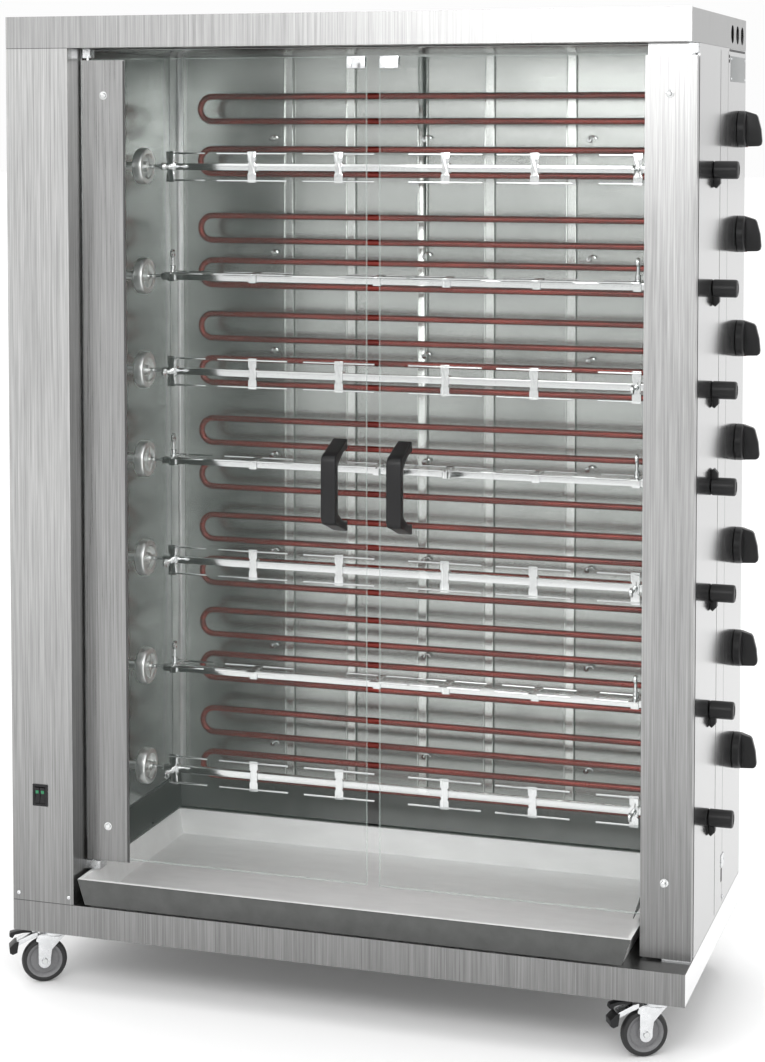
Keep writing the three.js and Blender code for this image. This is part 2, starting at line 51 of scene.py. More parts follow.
MM = 0.001
BASE_LOW, BASE_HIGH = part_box("base_chassis")
COVER_LOW, COVER_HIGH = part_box("top_cover")
COLUMN_LOW, COLUMN_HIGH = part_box("left_column")
HOUSING_LOW, HOUSING_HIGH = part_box("right_housing")
REFLECTOR_LOW, REFLECTOR_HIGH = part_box("reflector_panel")
CENTRE_X = (BASE_LOW.x + BASE_HIGH.x) / 2
FRONT = BASE_LOW.y
BACK = BASE_HIGH.y
LEFT = BASE_LOW.x
RIGHT = BASE_HIGH.x
FLOOR_Z = BASE_HIGH.z
CEILING_Z = COVER_LOW.z
CAVITY_LEFT = COLUMN_HIGH.x
CAVITY_RIGHT = HOUSING_LOW.x
SPIT_COUNT = 7
KNOB_COUNT = 7


# ---------------------------------------------------------------- camera, light and stage
CAMERA_AZIMUTH = math.radians(17.82)
CAMERA_DIP = math.radians(3.2)
CAMERA_PLACE = (1.2348, -3.8626, 1.5229)
SENSOR = 36
LENS = 108.4706
LENS_SHIFT = -0.364967


def make_camera():
    data = bpy.data.cameras.new("camera")
    data.sensor_fit = "HORIZONTAL"
    data.sensor_width = SENSOR
    data.lens = LENS
    data.shift_y = LENS_SHIFT
    data.clip_end = 200
    camera = bpy.data.objects.new("camera", data)
    bpy.context.scene.collection.objects.link(camera)
    camera.location = CAMERA_PLACE
    camera.rotation_euler = (math.pi / 2 - CAMERA_DIP, 0, CAMERA_AZIMUTH)
    bpy.context.scene.camera = camera


def area_light(name, place, target, size, power, colour=(1, 1, 1)):
    data = bpy.data.lights.new(name, "AREA")
    data.shape = "RECTANGLE"
    data.size, data.size_y = size
    data.energy = power
    data.color = colour
    light = bpy.data.objects.new(name, data)
    bpy.context.scene.collection.objects.link(light)
    light.location = place
    light.rotation_euler = (Vector(target) - Vector(place)).to_track_quat("-Z", "Y").to_euler()


def make_light():
    world = bpy.data.worlds.new("studio")
    bpy.context.scene.world = world
    world.use_nodes = True
    nodes, links = world.node_tree.nodes, world.node_tree.links
    nodes.clear()
    out = nodes.new("ShaderNodeOutputWorld")
    shown = nodes.new("ShaderNodeBackground")
    shown.inputs["Color"].default_value = (1, 1, 1, 1)
    shown.inputs["Strength"].default_value = 0.98
    lit = nodes.new("ShaderNodeBackground")
    lit.inputs["Strength"].default_value = 1.35
    mix = nodes.new("ShaderNodeMixShader")
    path = nodes.new("ShaderNodeLightPath")
    place = nodes.new("ShaderNodeTexCoord")
    split = nodes.new("ShaderNodeSeparateXYZ")
    ramp = nodes.new("ShaderNodeValToRGB")
    shift = nodes.new("ShaderNodeMath")
    shift.operation = "MULTIPLY_ADD"
    shift.inputs[1].default_value = 0.5
    shift.inputs[2].default_value = 0.5
    ramp.color_ramp.elements[0].position = 0.35
    ramp.color_ramp.elements[0].color = (0.50, 0.50, 0.50, 1)
    ramp.color_ramp.elements[1].position = 0.62
    ramp.color_ramp.elements[1].color = (0.88, 0.88, 0.88, 1)
    links.new(place.outputs["Generated"], split.inputs[0])
    links.new(split.outputs["Z"], shift.inputs[0])
    links.new(shift.outputs[0], ramp.inputs[0])
    links.new(ramp.outputs[0], lit.inputs["Color"])
    links.new(path.outputs["Is Camera Ray"], mix.inputs[0])
    links.new(lit.outputs[0], mix.inputs[1])
    links.new(shown.outputs[0], mix.inputs[2])
    links.new(mix.outputs[0], out.inputs[0])
    area_light("key", (-2.6, -3.4, 3.0), (0, 0, 1.2), (2.6, 2.6), 12)
    area_light("fill_right", (3.4, -2.4, 1.6), (0.3, 0, 0.9), (1.6, 2.4), 6)
    area_light("top", (0, -0.6, 4.0), (0, 0, 0), (3.0, 2.0), 10)
    area_light("front", (0.2, -2.4, 2.0), (0, 0, 0.2), (1.8, 0.9), 22)
    area_light("back", (-1.0, 3.4, 2.4), (0, 0, 0.9), (2.4, 2.4), 14)


def make_stage():
    mesh = bpy.data.meshes.new("floor")
    reach = 60
    corners = [(-reach, -reach, 0), (reach, -reach, 0), (reach, reach, 0), (-reach, reach, 0)]
    mesh.from_pydata(corners, [], [(0, 1, 2, 3)])
    floor = bpy.data.objects.new("floor", mesh)
    bpy.context.scene.collection.objects.link(floor)
    material = bpy.data.materials.new("floor_paper")
    material.use_nodes = True
    shader = material.node_tree.nodes["Principled BSDF"]
    shader.inputs["Base Color"].default_value = (0.97, 0.97, 0.97, 1)
    shader.inputs["Roughness"].default_value = 0.9
    shader.inputs["Specular IOR Level"].default_value = 0.1
    mesh.materials.append(material)


# ---------------------------------------------------------------- materials
def surface(
    name,
    colour,
    metallic,
    roughness,
    grain,
    tone=0.1,
    rough=0.06,
    bump=0.05,
    tint=None,
    foot=1.0,
    rise_to=1.7,
    **sockets,
):
    """A material whose colour, roughness and bump follow one noise.

    grain is the noise's scale along x, y and z. The colour runs from tone darker to tint, or to tone lighter.
    foot is a painted shade: the colour is scaled by foot at the floor, rising to 1 at the height rise_to.
    sockets are the shader's other values.
    """
    material = bpy.data.materials.new(name)
    material.use_nodes = True
    nodes, links = material.node_tree.nodes, material.node_tree.links
    shader = nodes["Principled BSDF"]
    shader.inputs["Metallic"].default_value = metallic
    for socket, value in sockets.items():
        shader.inputs[socket.replace("_", " ")].default_value = value
    place = nodes.new("ShaderNodeTexCoord")
    mapping = nodes.new("ShaderNodeMapping")
    mapping.inputs["Scale"].default_value = grain
    noise = nodes.new("ShaderNodeTexNoise")
    noise.inputs["Scale"].default_value = 1
    noise.inputs["Detail"].default_value = 5
    noise.inputs["Roughness"].default_value = 0.6
    links.new(place.outputs["Object"], mapping.inputs["Vector"])
    links.new(mapping.outputs["Vector"], noise.inputs["Vector"])
    ramp = nodes.new("ShaderNodeValToRGB")
    low, high = ramp.color_ramp.elements
    low.position = 0.28
    high.position = 0.72
    low.color = (*[c * (1 - tone) for c in colour], 1)
    high.color = (*(tint or [min(1, c * (1 + tone)) for c in colour]), 1)
    links.new(noise.outputs["Fac"], ramp.inputs["Fac"])
    colour_out = ramp.outputs["Color"]
    # Painted shade: the colour darkens towards the floor, from 1 at the height rise_to down to foot at z = 0.
    if foot != 1.0:
        split = nodes.new("ShaderNodeSeparateXYZ")
        links.new(place.outputs["Object"], split.inputs[0])
        rise = nodes.new("ShaderNodeMapRange")
        rise.inputs["From Max"].default_value = rise_to
        rise.inputs["To Min"].default_value = foot
        links.new(split.outputs["Z"], rise.inputs["Value"])
        shade = nodes.new("ShaderNodeVectorMath")
        shade.operation = "SCALE"
        links.new(colour_out, shade.inputs[0])
        links.new(rise.outputs["Result"], shade.inputs["Scale"])
        colour_out = shade.outputs[0]
    links.new(colour_out, shader.inputs["Base Color"])
    spread = nodes.new("ShaderNodeMapRange")
    spread.inputs["To Min"].default_value = max(0.0, roughness - rough)
    spread.inputs["To Max"].default_value = roughness + rough
    links.new(noise.outputs["Fac"], spread.inputs["Value"])
    links.new(spread.outputs["Result"], shader.inputs["Roughness"])
    relief = nodes.new("ShaderNodeBump")
    relief.inputs["Strength"].default_value = bump
    relief.inputs["Distance"].default_value = 0.0005
    links.new(noise.outputs["Fac"], relief.inputs["Height"])
    links.new(relief.outputs["Normal"], shader.inputs["Normal"])
    return material


BRUSHED = (480, 480, 6)  # long grain, upright
# Height in metres at which the painted shade towards the floor ends on the cabinet's brushed faces.
PAINTED_SHADE_TOP = 0.85


def make_materials():
    return {
        # Painted shade: the base's and the column's brushed steel darkens towards the floor.
        "brushed": surface(
            "brushed_steel", (0.44, 0.44, 0.437), 1, 0.34, BRUSHED, 0.30, 0.1, 0.12,
            foot=0.45, rise_to=PAINTED_SHADE_TOP,
        ),
        # Painted shade: the right stile, the cover and the left stile are darker copies of the same brushed
        # steel, and the stiles also darken towards the floor.
        "right_stile": surface(
            "right_stile_shaded_steel", (0.38, 0.38, 0.378), 1, 0.34, BRUSHED, 0.28, 0.1, 0.12,
            foot=0.42, rise_to=PAINTED_SHADE_TOP,
        ),
        "cover": surface("cover_shaded_steel", (0.36, 0.36, 0.358), 1, 0.34, BRUSHED, 0.26, 0.1, 0.12),
        "left_stile": surface(
            "left_stile_shaded_steel", (0.33, 0.33, 0.328), 1, 0.30, BRUSHED, 0.26, 0.1, 0.12,
            foot=0.6, rise_to=PAINTED_SHADE_TOP,
        ),
        # Painted shade: the right side's polished steel darkens slightly towards the floor.
        "side": surface(
            "side_steel", (0.45, 0.45, 0.45), 1, 0.15, (420, 420, 5), 0.03, 0.03, 0.02, foot=0.9
        ),
        "polished": surface("polished_steel", (0.42, 0.435, 0.42), 1, 0.25, (2, 2, 12), 0.12, 0.05, 0.0),
        # Painted shade: the cavity's liner sheets darken towards the floor.
        "liner": surface(
            "liner_steel", (0.36, 0.375, 0.368), 1, 0.22, (3, 8, 60), 0.18, 0.07, 0.01, foot=0.8
        ),
        "strap": surface("strap_steel", (0.62, 0.64, 0.62), 1, 0.24, (30, 30, 3), 0.15, 0.06, 0.01),
        "satin": surface("satin_steel", (0.66, 0.67, 0.665), 1, 0.34, (14, 40, 40), 0.07, 0.06, 0.03),
        # Painted light: the steel tray is pale and barely metallic, standing in for the light its floor
        # reflects from above.
        "tray": surface("tray_painted_light_steel", (0.86, 0.865, 0.86), 0.15, 0.42, (14, 40, 40), 0.05, 0.05, 0.03),
        "cup": surface("cup_steel", (0.80, 0.81, 0.80), 1, 0.33, (60, 60, 60), 0.06, 0.06, 0.03),
        # Painted shade: a near-black copy of the steel, for the tray's front lip and the drip funnel.
        "dark": surface("painted_shade_steel", (0.105, 0.107, 0.105), 1, 0.3, (30, 30, 30), 0.12, 0.06, 0.03),
        # Painted light: a pale, barely metallic copy of the steel.
        "pale": surface("painted_light_steel", (0.86, 0.86, 0.86), 0.3, 0.3, (420, 420, 5), 0.03, 0.05, 0.03),
        "zinc": surface("zinc_plate", (0.72, 0.73, 0.74), 1, 0.26, (90, 90, 90), 0.1, 0.1, 0.05),
        "chrome": surface("chrome_plate", (0.68, 0.69, 0.69), 1, 0.12, (260, 260, 260), 0.04, 0.05, 0.02),
        "element": surface(
            "element_sheath", (0.11, 0.009, 0.006), 0.55, 0.22, (9, 160, 160), 0.4, 0.08, 0.05,
            tint=(0.26, 0.03, 0.02),
        ),
        "black": surface(
            "black_plastic", (0.008, 0.008, 0.0085), 0, 0.36, (1100, 1100, 1100), 0.25, 0.08, 0.2,
            Specular_IOR_Level=0.3,
        ),
        "tyre": surface("tyre_rubber", (0.012, 0.012, 0.0125), 0, 0.5, (500, 500, 500), 0.3, 0.1, 0.2),
        "hub": surface("hub_nylon", (0.17, 0.17, 0.175), 0, 0.45, (300, 300, 300), 0.12, 0.08, 0.1),
        # Dark rubber for the stile's gasket and the panel plugs; the same dark is painted shade in the seam
        # and slot strips.
        "gasket": surface("rubber_and_painted_shade", (0.05, 0.05, 0.05), 0, 0.6, (400, 400, 40), 0.2, 0.1, 0.1),
        "plate": surface("blank_plate", (0.30, 0.31, 0.31), 1, 0.42, (40, 240, 900), 0.2, 0.1, 0.1),
        "red": surface("red_mark", (0.30, 0.01, 0.012), 0, 0.4, (600, 600, 600), 0.15, 0.05, 0.05),
        "lens": surface(
            "green_lens", (0.01, 0.12, 0.05), 0, 0.2, (500, 500, 500), 0.2, 0.05, 0.02,
            Emission_Color=(0.05, 0.6, 0.25, 1), Emission_Strength=0.12,
        ),
        "glass": surface(
            "clear_glass", (0.30, 0.36, 0.33), 0, 0.03, (2, 2, 2), 0.05, 0.01, 0.0, Alpha=0.045, IOR=1.45
        ),
        # Partly the glass's own green edge, partly a painted highlight: the pane's edge faces are lighter and
        # more opaque so they show as light lines.
        "glass_edge": surface(
            "glass_edge", (0.62, 0.72, 0.68), 0, 0.15, (40, 40, 9), 0.12, 0.05, 0.05, Alpha=0.35, IOR=1.45
        ),
    }


# ---------------------------------------------------------------- mesh helpers
SMOOTH_ANGLE = math.radians(35)


def finish_piece(name, bm, material, body, bevel=0.0, replaces=(), segments=2):
    """Turns a bmesh into a named piece that rides on a CAD body."""
    bmesh.ops.remove_doubles(bm, verts=bm.verts, dist=1e-6)
    bmesh.ops.recalc_face_normals(bm, faces=bm.faces)
    if bevel:
        sharp = [e for e in bm.edges if len(e.link_faces) == 2 and e.calc_face_angle(0) > math.radians(28)]
        bmesh.ops.bevel(
            bm, geom=sharp, offset=bevel, segments=segments, profile=0.6, affect="EDGES", clamp_overlap=True
        )
    bmesh.ops.recalc_face_normals(bm, faces=bm.faces)
    mesh = bpy.data.meshes.new(name)
    bm.to_mesh(mesh)
    bm.free()
    for entry in material if isinstance(material, (list, tuple)) else [material]:
        mesh.materials.append(entry)
    mesh.shade_smooth()
    mesh.set_sharp_from_angle(angle=SMOOTH_ANGLE)
    piece = bpy.data.objects.new(name, mesh)
    bpy.context.scene.collection.objects.link(piece)
    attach(piece, body)
    if replaces:
        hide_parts(*replaces)
    return piece


def add_box(bm, low, high):
    size = Vector(high) - Vector(low)
    middle = (Vector(high) + Vector(low)) / 2
    matrix = Matrix.Translation(middle) @ Matrix.Diagonal((*size, 1))
    return bmesh.ops.create_cube(bm, size=1, matrix=matrix)["verts"]


AXES = {
    "x": lambda r, h, c, s: (h, r * c, r * s),
    "y": lambda r, h, c, s: (r * s, h, r * c),
    "z": lambda r, h, c, s: (r * c, r * s, h),
}


def add_lathe(bm, axis, origin, profile, steps=32):
    """Turns a profile of (radius, height) points round an axis through origin; radius 0 closes an end."""
    place = AXES[axis]
    origin = Vector(origin)
    rings = []
    for radius, height in profile:
        if radius < 1e-9:
            rings.append([bm.verts.new(origin + Vector(place(0, height, 1, 0)))])
            continue
        ring = []
        for i in range(steps):
            angle = 2 * math.pi * i / steps
            spot = place(radius, height, math.cos(angle), math.sin(angle))
            ring.append(bm.verts.new(origin + Vector(spot)))
        rings.append(ring)
    for first, second in zip(rings, rings[1:]):
        for i in range(steps):
            j = (i + 1) % steps
            corners = [first[i % len(first)], first[j % len(first)]]
            corners += [second[j % len(second)], second[i % len(second)]]
            unique = list(dict.fromkeys(corners))
            if len(unique) > 2:
                bm.faces.new(unique)


def scaled(profile, stretch=1):
    """A profile given in millimetres, in metres; stretch multiplies its heights and may turn them round."""
    return [(radius * MM, height * stretch * MM) for radius, height in profile]


def add_rod(bm, axis, origin, radius, start, end, chamfer=0.0008, steps=24):
    profile = [(0, start), (radius - chamfer, start), (radius, start + chamfer)]
    profile += [(radius, end - chamfer), (radius - chamfer, end), (0, end)]
    add_lathe(bm, axis, origin, profile, steps)


def add_tube(bm, points, radius, steps=12, cap=True):
    """Sweeps a round section along points."""
    points = [Vector(p) for p in points]
    rings = []
    normal = None
    for i, point in enumerate(points):
        before = points[max(i - 1, 0)]
        after = points[min(i + 1, len(points) - 1)]
        along = (after - before).normalized()
        if normal is None:
            normal = along.orthogonal().normalized()
        normal = (normal - along * normal.dot(along)).normalized()
        side = along.cross(normal)
        ring = []
        for k in range(steps):
            angle = 2 * math.pi * k / steps
            ring.append(bm.verts.new(point + radius * (math.cos(angle) * normal + math.sin(angle) * side)))
        rings.append(ring)
    for first, second in zip(rings, rings[1:]):
        for k in range(steps):
            m = (k + 1) % steps
            bm.faces.new((first[k], first[m], second[m], second[k]))
    if cap:
        bm.faces.new(rings[0])
        bm.faces.new(rings[-1])


def add_prism(bm, outline, place, start, end):
    """Extrudes a flat outline of (u, v) points from start to end; place maps (u, v, w) to a point."""
    first = [bm.verts.new(place(u, v, start)) for u, v in outline]
    second = [bm.verts.new(place(u, v, end)) for u, v in outline]
    bm.faces.new(first)
    bm.faces.new(second)
    for i in range(len(outline)):
        j = (i + 1) % len(outline)
        bm.faces.new((first[i], first[j], second[j], second[i]))


def turned(bm, angle, centre, axis="X"):
    """Turns everything in the bmesh about an axis through centre."""
    turn = Matrix.Rotation(angle, 4, axis)
    matrix = Matrix.Translation(centre) @ turn @ Matrix.Translation(-Vector(centre))
    bmesh.ops.transform(bm, matrix=matrix, verts=bm.verts)


def arc(centre, radius, start, end, steps):
    """Points (u, v) on an arc, angles in degrees."""
    points = []
    for i in range(steps + 1):
        angle = math.radians(start + (end - start) * i / steps)
        points.append((centre[0] + radius * math.cos(angle), centre[1] + radius * math.sin(angle)))
    return points


# ---------------------------------------------------------------- cabinet
def soften(node, material, width=0.0011):
    """Gives a CAD shell its material and the small fold radius of bent sheet."""
    shell = NODES[node]
    for slot in shell.material_slots:
        slot.material = material
    if not shell.material_slots:
        shell.data.materials.append(material)
    bevel = shell.modifiers.new("fold", "BEVEL")
    bevel.width = width
    bevel.segments = 2
    bevel.limit_method = "ANGLE"
    bevel.angle_limit = math.radians(50)
    bevel.harden_normals = True


def screw(name, place, axis, radius, material, body, out=1, slotted=True):
    """A domed screw head standing out along an axis, with a cross recess."""
    bm = bmesh.new()
    height = radius * 0.62
    profile = [(0, 0), (radius, 0), (radius, height * 0.25)]
    for angle in (math.radians(25), math.radians(50), math.radians(72)):
        profile.append((radius * math.cos(angle), height * (0.25 + 0.75 * math.sin(angle))))
    profile.append((0, height))
    add_lathe(bm, axis, place, [(r, out * h) for r, h in profile], 18)
    if slotted:
        bar = radius * 0.55
        thin = radius * 0.12
        top = out * height
        size = {"x": (0.0003, bar, thin), "y": (bar, 0.0003, thin), "z": (bar, thin, 0.0003)}[axis]
        cross = {"x": (0.0003, thin, bar), "y": (thin, 0.0003, bar), "z": (thin, bar, 0.0003)}[axis]
        lift = {"x": Vector((top, 0, 0)), "y": Vector((0, top, 0)), "z": Vector((0, 0, top))}[axis]
        for half in (size, cross):
            add_box(bm, Vector(place) + lift - Vector(half), Vector(place) + lift + Vector(half))
    finish_piece(name, bm, material, body)


SKIN = 0.25 * MM


def add_trim(name, material, low, high, bevel=0.0):
    """A thin strip or block fixed to the cabinet."""
    bm = bmesh.new()
    add_box(bm, low, high)
    finish_piece(name, bm, material, "root", bevel)


def make_cabinet(mat):
    # Painted shade: the base and column darken towards the floor, and the cover is a darker copy of their
    # steel.
    for node in ("base_chassis", "left_column"):
        soften(node, mat["brushed"])
    soften("top_cover", mat["cover"])
    soften("right_housing", mat["side"])
    soften("rear_panel", mat["satin"], 0.0004)
    soften("reflector_panel", mat["polished"], 0.0004)
    # The drip funnel takes the near-black steel: painted shade.
    soften("drip_funnel", mat["dark"], 0.0004)
    soften("gear_motor", mat["zinc"], 0.002)
    for node in ("upper_left_hinge", "upper_right_hinge", "lower_left_hinge", "lower_right_hinge"):
        soften(node, mat["zinc"], 0.001)
    # Painted shadow: dark strips along the column's front at its joints with the cover and the base.
    cover_seam = ("cover", CEILING_Z - 0.9 * MM, CEILING_Z + 0.1 * MM)
    base_seam = ("base", FLOOR_Z - 0.5 * MM, FLOOR_Z + 0.7 * MM)
    for label, z0, z1 in (cover_seam, base_seam):
        add_trim(label + "_seam", mat["gasket"], (LEFT + 1 * MM, FRONT - SKIN, z0), (CAVITY_LEFT, FRONT, z1))
    for label, x in (("left", LEFT + 11 * MM), ("right", CAVITY_LEFT - 9 * MM)):
        place = (x, FRONT, FLOOR_Z + 13 * MM)
        screw("column_screw_" + label, place, "y", 3.6 * MM, mat["zinc"], "root", -1)


LINER = 0.8 * MM
LINER_FOOT = 268 * MM


def make_liners(mat):
    """Polished sheets on the cavity's side walls and ceiling, and the bright post in its back left corner."""
    high_z = CEILING_Z - 2 * MM
    front = FRONT + 76 * MM
    back = REFLECTOR_LOW.y - 0.5 * MM
    wall = CAVITY_LEFT + LINER
    edge = 0.2 * MM
    liner = mat["liner"]
    low, high = (CAVITY_LEFT, front - 20 * MM, LINER_FOOT), (wall, back, high_z)
    add_trim("left_wall_liner", liner, low, high, edge)
    low, high = (CAVITY_RIGHT - LINER, front, LINER_FOOT), (CAVITY_RIGHT, back, high_z)
    add_trim("right_wall_liner", liner, low, high, edge)
    bm = bmesh.new()
    outline = [(wall, back - 37 * MM), (wall + 1.2 * MM, back - 37 * MM), (wall + 1.2 * MM, back - 5 * MM)]
    outline += [(wall + 5 * MM, back - 1.2 * MM), (wall + 12 * MM, back - 1.2 * MM)]
    outline += [(wall + 12 * MM, back), (wall, back)]
    add_prism(bm, outline, lambda u, v, w: Vector((u, v, w)), LINER_FOOT, high_z)
    finish_piece("left_corner_post", bm, mat["satin"], "root", 0.3 * MM)
    low, high = (CAVITY_LEFT + 2 * MM, front, high_z), (CAVITY_RIGHT - 2 * MM, back, high_z + LINER)
    add_trim("ceiling_liner", liner, low, high, edge)


STRIP_OFFSETS = (-251, -128, 12, 140, 293)
STRIP_FOOT = 270 * MM
CLIP_OFFSETS = (-286, 15, 325)


def make_supports(mat):
    """Upright straps that carry the elements, and the clips between the loops."""
    back = REFLECTOR_LOW.y
    top = CEILING_Z - 6 * MM
    for number, offset in enumerate(STRIP_OFFSETS, 1):
        x = CENTRE_X + offset * MM
        bm = bmesh.new()
        add_box(bm, (x - 9 * MM, back - 4 * MM, STRIP_FOOT), (x + 9 * MM, back - 2.5 * MM, top))
        for side in (-1, 1):
            edge = x + side * 9 * MM
            inner = edge - side * 1.2 * MM
            x0, x1 = sorted((edge, inner))
            add_box(bm, (x0, back - 8 * MM, STRIP_FOOT), (x1, back - 4 * MM, top))
        finish_piece("element_strap_%d" % number, bm, mat["strap"], "root", 0.3 * MM)
    for zone in range(1, SPIT_COUNT + 1):
        low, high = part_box("heating_zone_%d" % zone)
        z = (low.z + high.z) / 2 - 8 * MM
        for number, offset in enumerate(CLIP_OFFSETS, 1):
            x = CENTRE_X + offset * MM
            bm = bmesh.new()
            add_rod(bm, "y", (x, 0, z), 5 * MM, back - 7 * MM, back - 0.5 * MM)
            hook = [(x + u, back - 7 * MM, z + v) for u, v in arc((7 * MM, 0), 7 * MM, 180, 20, 8)]
            add_tube(bm, hook, 1.8 * MM, 8)
            finish_piece("element_clip_%d_%d" % (zone, number), bm, mat["chrome"], "root")


def make_side_panel(mat):
    """What the right side carries: the base's skin in painted light, service panels with painted shadow strips
    in their seams, a blank plate and a latch.
    """
    x0, x1 = RIGHT, RIGHT + SKIN
    foot, head = FLOOR_Z + 6 * MM, CEILING_Z - 6 * MM
    seams = (FRONT + 274 * MM, FRONT + 349 * MM)
    # Painted light: a pale skin makes the base's right side lighter than its steel.
    low, high = (x0, FRONT + 1 * MM, BASE_LOW.z + 1 * MM), (x1, BACK - 1 * MM, FLOOR_Z - 1 * MM)
    add_trim("base_side_skin", mat["pale"], low, high)
    spans = [(seams[0] + 1 * MM, seams[1] - 1 * MM), (seams[1] + 1 * MM, BACK - 3 * MM)]
    for number, (y0, y1) in enumerate(spans, 1):
        low, high = (x0, y0, foot), (x1, y1, head)
        add_trim("service_panel_%d" % number, mat["side"], low, high)
    # Painted shadow: a dark strip in each seam between the service panels.
    for number, y in enumerate(seams, 1):
        low, high = (x0, y - 0.8 * MM, foot), (x0 + 0.1 * MM, y + 0.8 * MM, head)
        add_trim("panel_seam_shadow_%d" % number, mat["gasket"], low, high)
    low, high = (x1, FRONT + 374 * MM, 1594 * MM), (x1 + 0.4 * MM, FRONT + 530 * MM, 1638 * MM)
    add_trim("blank_plate", mat["plate"], low, high, 0.1 * MM)
    for number, (y, z) in enumerate(((379, 1599), (525, 1599), (379, 1633), (525, 1633)), 1):
        place = (x1 + 0.4 * MM, FRONT + y * MM, z * MM)
        screw("plate_rivet_%d" % number, place, "x", 2 * MM, mat["zinc"], "root", 1, False)
    # Painted shade: a dark strip stands for the cable slot's opening.
    low = (x1, FRONT + 363 * MM, CEILING_Z - 5.5 * MM)
    high = (x1 + 0.1 * MM, FRONT + 528 * MM, CEILING_Z - 1.5 * MM)
    add_trim("cable_slot", mat["gasket"], low, high)
    for number, z in enumerate((1637, 1629), 1):
        bm = bmesh.new()
        add_rod(bm, "x", (0, FRONT + 360 * MM, z * MM), 3 * MM, x1, x1 + 0.6 * MM, 0.2 * MM, 16)
        finish_piece("panel_plug_%d" % number, bm, mat["gasket"], "root")
    # Painted shade: a dark strip stands for the latch's slot.
    low, high = (x1, FRONT + 338 * MM, 203 * MM), (x1 + 0.3 * MM, FRONT + 347 * MM, 226 * MM)
    add_trim("latch_slot", mat["gasket"], low, high)
    low, high = (x1, FRONT + 338 * MM, 228 * MM), (x1 + 1.4 * MM, FRONT + 362 * MM, 250 * MM)
    add_trim("latch_keeper", mat["zinc"], low, high, 0.5 * MM)
    for number, (y, z) in enumerate(((358, 238), (359, 171)), 1):
        screw("panel_screw_%d" % number, (x1, FRONT + y * MM, z * MM), "x", 4 * MM, mat["zinc"], "root")


# ---------------------------------------------------------------- tray
def make_tray(mat):
    """A folded sheet tray: floor, four sloped walls, a flat rim and a deep lip along the front."""
    low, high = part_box("drip_tray")
    rim = 8 * MM
    lip = high.z - low.z - 4 * MM
    slant = 14 * MM
    sheet = 1.2 * MM
    floor = [(low.x + 19 * MM, low.y + 24 * MM), (high.x - 18 * MM, high.y - 15 * MM)]
    levels = [
        (floor[0][0], floor[1][0], floor[0][1], floor[1][1], low.z + 0.4 * MM),
        (low.x + rim, high.x - rim, low.y + rim, high.y - rim, high.z - sheet),
        (low.x + sheet, high.x - sheet, low.y + sheet, high.y - sheet, high.z - sheet),
    ]
    bm = bmesh.new()
    rings = []
    for x0, x1, y0, y1, z in levels:
        rings.append([bm.verts.new(p) for p in ((x0, y0, z), (x1, y0, z), (x1, y1, z), (x0, y1, z))])
    bm.faces.new(rings[0])
    for first, second in zip(rings, rings[1:]):
        for i in range(4):
            j = (i + 1) % 4
            bm.faces.new((first[i], first[j], second[j], second[i]))
    a, b = rings[-1][0], rings[-1][1]
    drop = [bm.verts.new(v.co - Vector((inset, 0, lip))) for v, inset in ((b, slant), (a, -slant))]
    # The front lip takes the second slot, the near-black steel: painted shade.
    bm.faces.new((a, b, drop[0], drop[1])).material_index = 1
    bmesh.ops.recalc_face_normals(bm, faces=bm.faces)
    # The floor and walls take the first slot, the pale steel: painted light.
    sheets = [mat["tray"], mat["dark"]]
    piece = finish_piece("drip_tray_sheet", bm, sheets, "drip_tray", 0, ["drip_tray"])
    thick = piece.modifiers.new("sheet", "SOLIDIFY")
    thick.thickness = sheet
    thick.offset = 0
    fold = piece.modifiers.new("fold", "BEVEL")
    fold.width = 0.5 * MM
    fold.segments = 2
    fold.angle_limit = math.radians(30)


# ---------------------------------------------------------------- doors
def make_doors(mat):
    for side in ("left", "right"):
        body = side + "_door"
        # Each stile takes its own darker copy of the brushed steel, with painted shade towards the floor.
        soften(body + "_stile", mat[side + "_stile"], 0.0009)
        low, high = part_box(body + "_glass")
        bm = bmesh.new()
        add_box(bm, low, high)
        for face in bm.faces:
            face.material_index = 0 if abs(face.normal.y) > 0.9 else 1
        # The pane's edge faces take the second slot: the glass's green edge with a painted highlight.
        glass = [mat["glass"], mat["glass_edge"]]
        edge = 0.6 * MM
        pane = finish_piece(body + "_pane", bm, glass, body, edge, [body + "_glass"], 1)
        for polygon in pane.data.polygons:
            polygon.material_index = 0 if abs(polygon.normal.y) > 0.99 else 1
        stile_low, stile_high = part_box(body + "_stile")
        if side == "left":
            bm = bmesh.new()
            strip = (stile_high.x - 3.5 * MM, stile_low.y - SKIN, stile_low.z + 2 * MM)
            add_box(bm, strip, (stile_high.x - 0.2 * MM, stile_low.y, stile_high.z - 2 * MM))
            finish_piece("left_stile_gasket", bm, mat["gasket"], body)
        x = (stile_low.x + stile_high.x) / 2 + (-2 * MM if side == "right" else 0)
        for number, z in enumerate((1570, 289), 1):
            bm = bmesh.new()
            squat = 0.3 if side == "left" else 1
            profile = [(0, 0), (7, 0), (7, 1.2), (4.6, 1.8), (4.2, 9), (4.8, 10)]
            profile += [(4.2, 12.5), (2.4, 13.6), (0, 13.8)]
            add_lathe(bm, "y", (x, stile_low.y, z * MM), scaled(profile, -squat), 20)
            finish_piece("%s_stile_stud_%d" % (side, number), bm, mat["chrome"], body)
        make_catch(side, body, low, high, mat)
        make_handle(side, body, mat)


